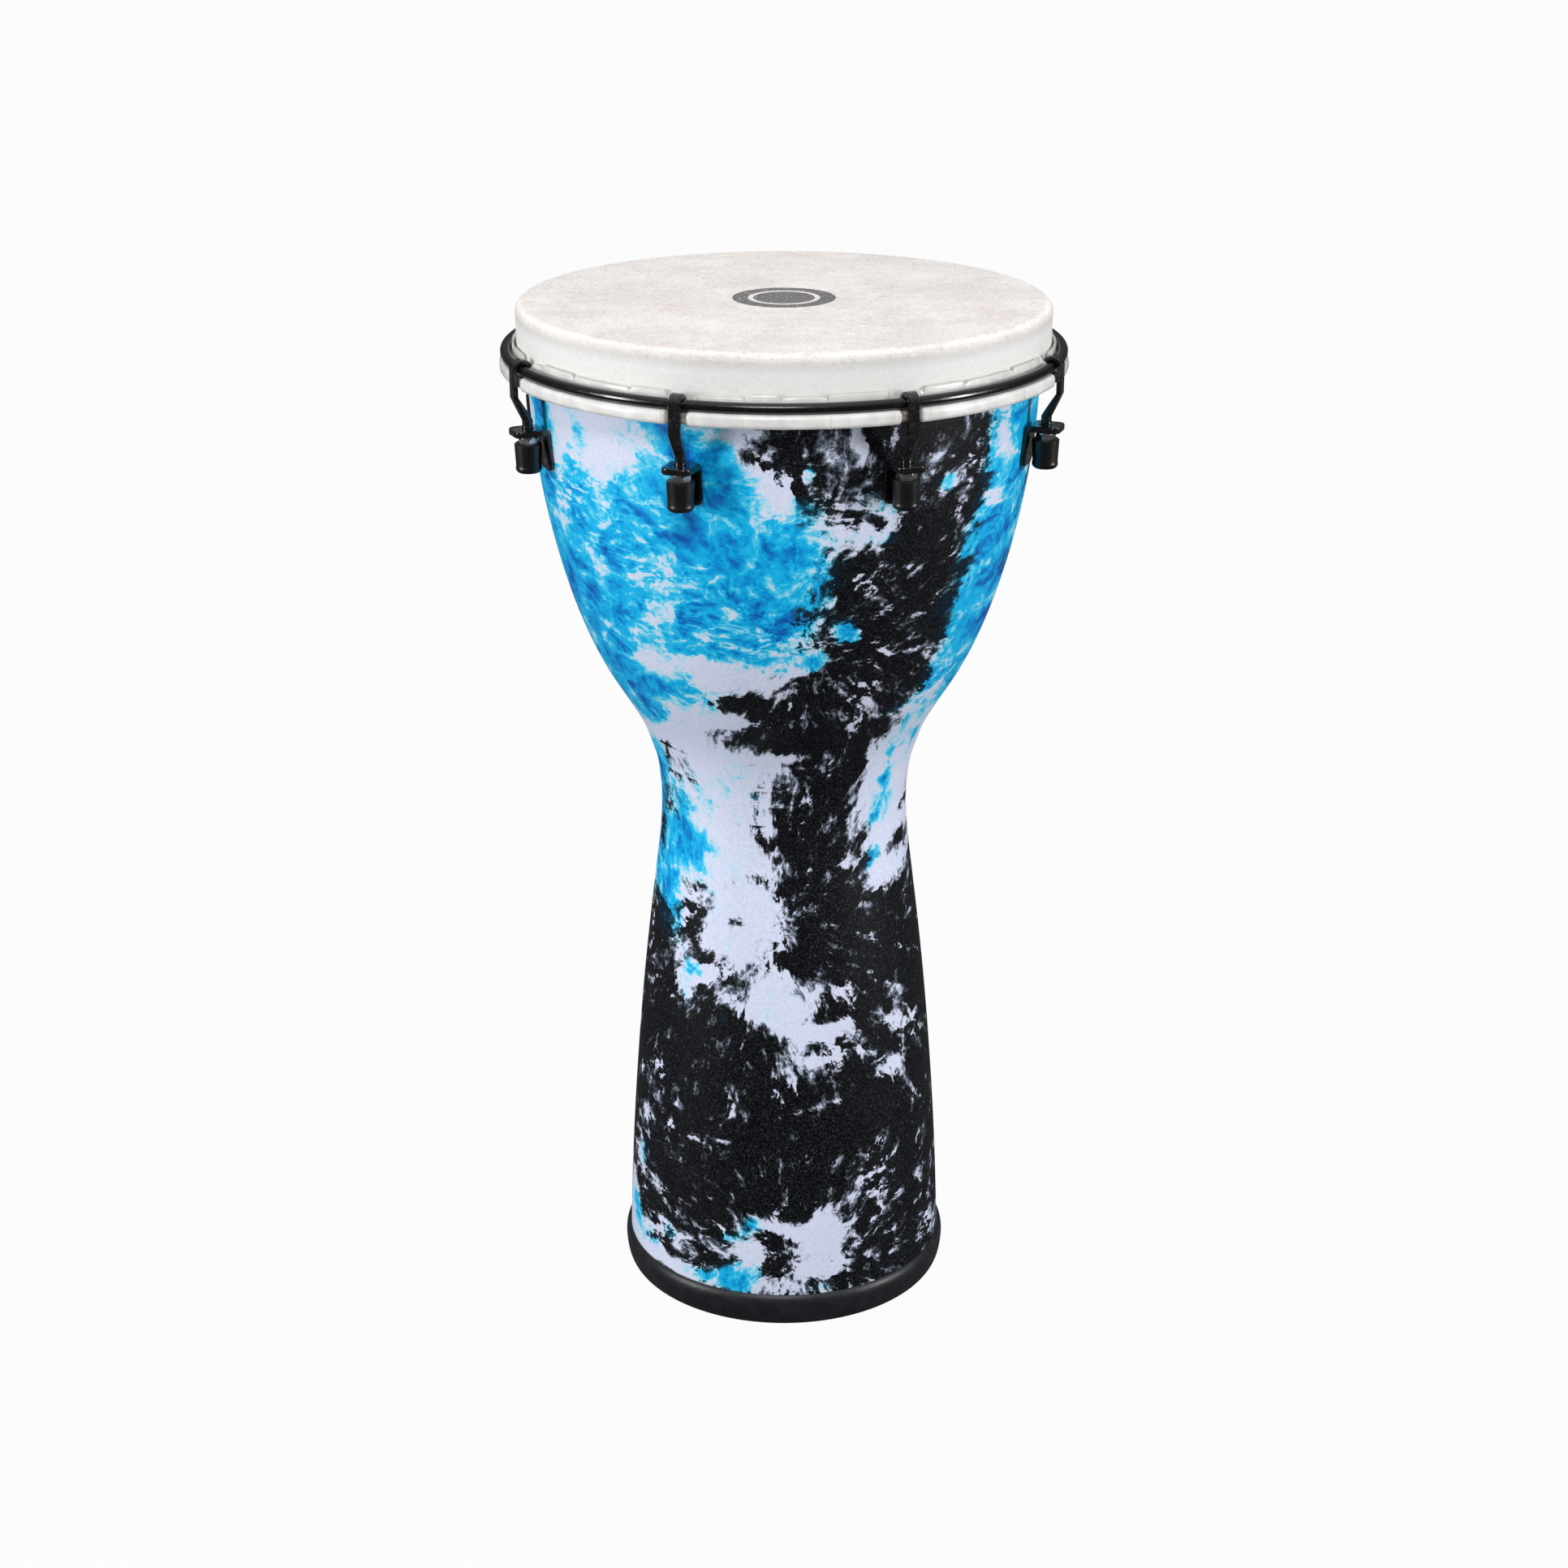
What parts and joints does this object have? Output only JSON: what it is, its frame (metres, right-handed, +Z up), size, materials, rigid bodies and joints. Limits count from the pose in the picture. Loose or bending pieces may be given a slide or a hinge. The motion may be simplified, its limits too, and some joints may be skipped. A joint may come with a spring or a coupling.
{
  "type": "djembe",
  "caption": "Goblet hand drum with a tie-dye covered shell, rubber foot and a synthetic head tuned by hooks and nuts on a crown ring.",
  "frame": {"origin": "centre of the foot where it meets the floor", "axes": "+Z up the drum's axis towards the head; lug_1 is 22.5 degrees from -Y towards +X, the others follow anticlockwise"},
  "size_m": [0.328, 0.328, 0.622],
  "materials": {
    "shell_fibreglass": "rough moulded black fibreglass, bare inside the drum",
    "tie_dye_fabric": "fine woven fabric printed in blue, white and black tie-dye, laminated under satin lacquer",
    "foot_rubber": "moulded black rubber with a soft sheen",
    "drumhead_film": "matt fibre-textured off-white film",
    "hoop_film": "glossy white film folded round the hoop",
    "black_wire": "gloss black powder coat on round steel wire",
    "black_enamel": "thick gloss black enamel on bent steel",
    "black_forging": "black coat over hammered forged steel",
    "plated_steel": "bright zinc-plated steel",
    "cap_rubber": "smooth black rubber"
  },
  "bodies": {
    "drum": {"shell": "shell_fibreglass", "tie_dye_wrap": "tie_dye_fabric", "foot_ring": "foot_rubber", "lug_bolts": "plated_steel", "lug_bolt_washers": "plated_steel", "lug_1": "black_enamel", "lug_2": "black_enamel", "lug_3": "black_enamel", "lug_4": "black_enamel", "lug_5": "black_enamel", "lug_6": "black_enamel", "lug_7": "black_enamel", "lug_8": "black_enamel"},
    "head": {"drumhead": "drumhead_film", "flesh_hoop": "plated_steel", "hoop_cover": "hoop_film", "crown_ring": "black_wire", "hook_1": "black_forging", "hook_2": "black_forging", "hook_3": "black_forging", "hook_4": "black_forging", "hook_5": "black_forging", "hook_6": "black_forging", "hook_7": "black_forging", "hook_8": "black_forging"},
    "tuner_1": {"nut_1": "plated_steel", "nut_washer_1": "plated_steel", "nut_cap_1": "cap_rubber"},
    "tuner_2": {"nut_2": "plated_steel", "nut_washer_2": "plated_steel", "nut_cap_2": "cap_rubber"},
    "tuner_3": {"nut_3": "plated_steel", "nut_washer_3": "plated_steel", "nut_cap_3": "cap_rubber"},
    "tuner_4": {"nut_4": "plated_steel", "nut_washer_4": "plated_steel", "nut_cap_4": "cap_rubber"},
    "tuner_5": {"nut_5": "plated_steel", "nut_washer_5": "plated_steel", "nut_cap_5": "cap_rubber"},
    "tuner_6": {"nut_6": "plated_steel", "nut_washer_6": "plated_steel", "nut_cap_6": "cap_rubber"},
    "tuner_7": {"nut_7": "plated_steel", "nut_washer_7": "plated_steel", "nut_cap_7": "cap_rubber"},
    "tuner_8": {"nut_8": "plated_steel", "nut_washer_8": "plated_steel", "nut_cap_8": "cap_rubber"}
  },
  "joints": [
    {"name": "head_tension", "type": "slide", "parent": "drum", "child": "head", "axis": [0, 0, -1], "range_m": [-0.003, 0.004], "deforming": ["drumhead"]},
    {"name": "nut_1_spin", "type": "hinge", "parent": "drum", "child": "tuner_1", "pos_m": [0.06039, -0.14579, 0.5534], "axis": [0, 0, 1], "range_deg": [-1080, 1440]},
    {"name": "nut_2_spin", "type": "hinge", "parent": "drum", "child": "tuner_2", "pos_m": [0.14579, -0.06039, 0.5534], "axis": [0, 0, 1], "range_deg": [-1080, 1440]},
    {"name": "nut_3_spin", "type": "hinge", "parent": "drum", "child": "tuner_3", "pos_m": [0.14579, 0.06039, 0.5534], "axis": [0, 0, 1], "range_deg": [-1080, 1440]},
    {"name": "nut_4_spin", "type": "hinge", "parent": "drum", "child": "tuner_4", "pos_m": [0.06039, 0.14579, 0.5534], "axis": [0, 0, 1], "range_deg": [-1080, 1440]},
    {"name": "nut_5_spin", "type": "hinge", "parent": "drum", "child": "tuner_5", "pos_m": [-0.06039, 0.14579, 0.5534], "axis": [0, 0, 1], "range_deg": [-1080, 1440]},
    {"name": "nut_6_spin", "type": "hinge", "parent": "drum", "child": "tuner_6", "pos_m": [-0.14579, 0.06039, 0.5534], "axis": [0, 0, 1], "range_deg": [-1080, 1440]},
    {"name": "nut_7_spin", "type": "hinge", "parent": "drum", "child": "tuner_7", "pos_m": [-0.14579, -0.06039, 0.5534], "axis": [0, 0, 1], "range_deg": [-1080, 1440]},
    {"name": "nut_8_spin", "type": "hinge", "parent": "drum", "child": "tuner_8", "pos_m": [-0.06039, -0.14579, 0.5534], "axis": [0, 0, 1], "range_deg": [-1080, 1440]}
  ],
  "couplings": [
    {"joint": "nut_1_spin", "follows": "head_tension", "rad_per_m": 6283.2},
    {"joint": "nut_2_spin", "follows": "head_tension", "rad_per_m": 6283.2},
    {"joint": "nut_3_spin", "follows": "head_tension", "rad_per_m": 6283.2},
    {"joint": "nut_4_spin", "follows": "head_tension", "rad_per_m": 6283.2},
    {"joint": "nut_5_spin", "follows": "head_tension", "rad_per_m": 6283.2},
    {"joint": "nut_6_spin", "follows": "head_tension", "rad_per_m": 6283.2},
    {"joint": "nut_7_spin", "follows": "head_tension", "rad_per_m": 6283.2},
    {"joint": "nut_8_spin", "follows": "head_tension", "rad_per_m": 6283.2}
  ]
}
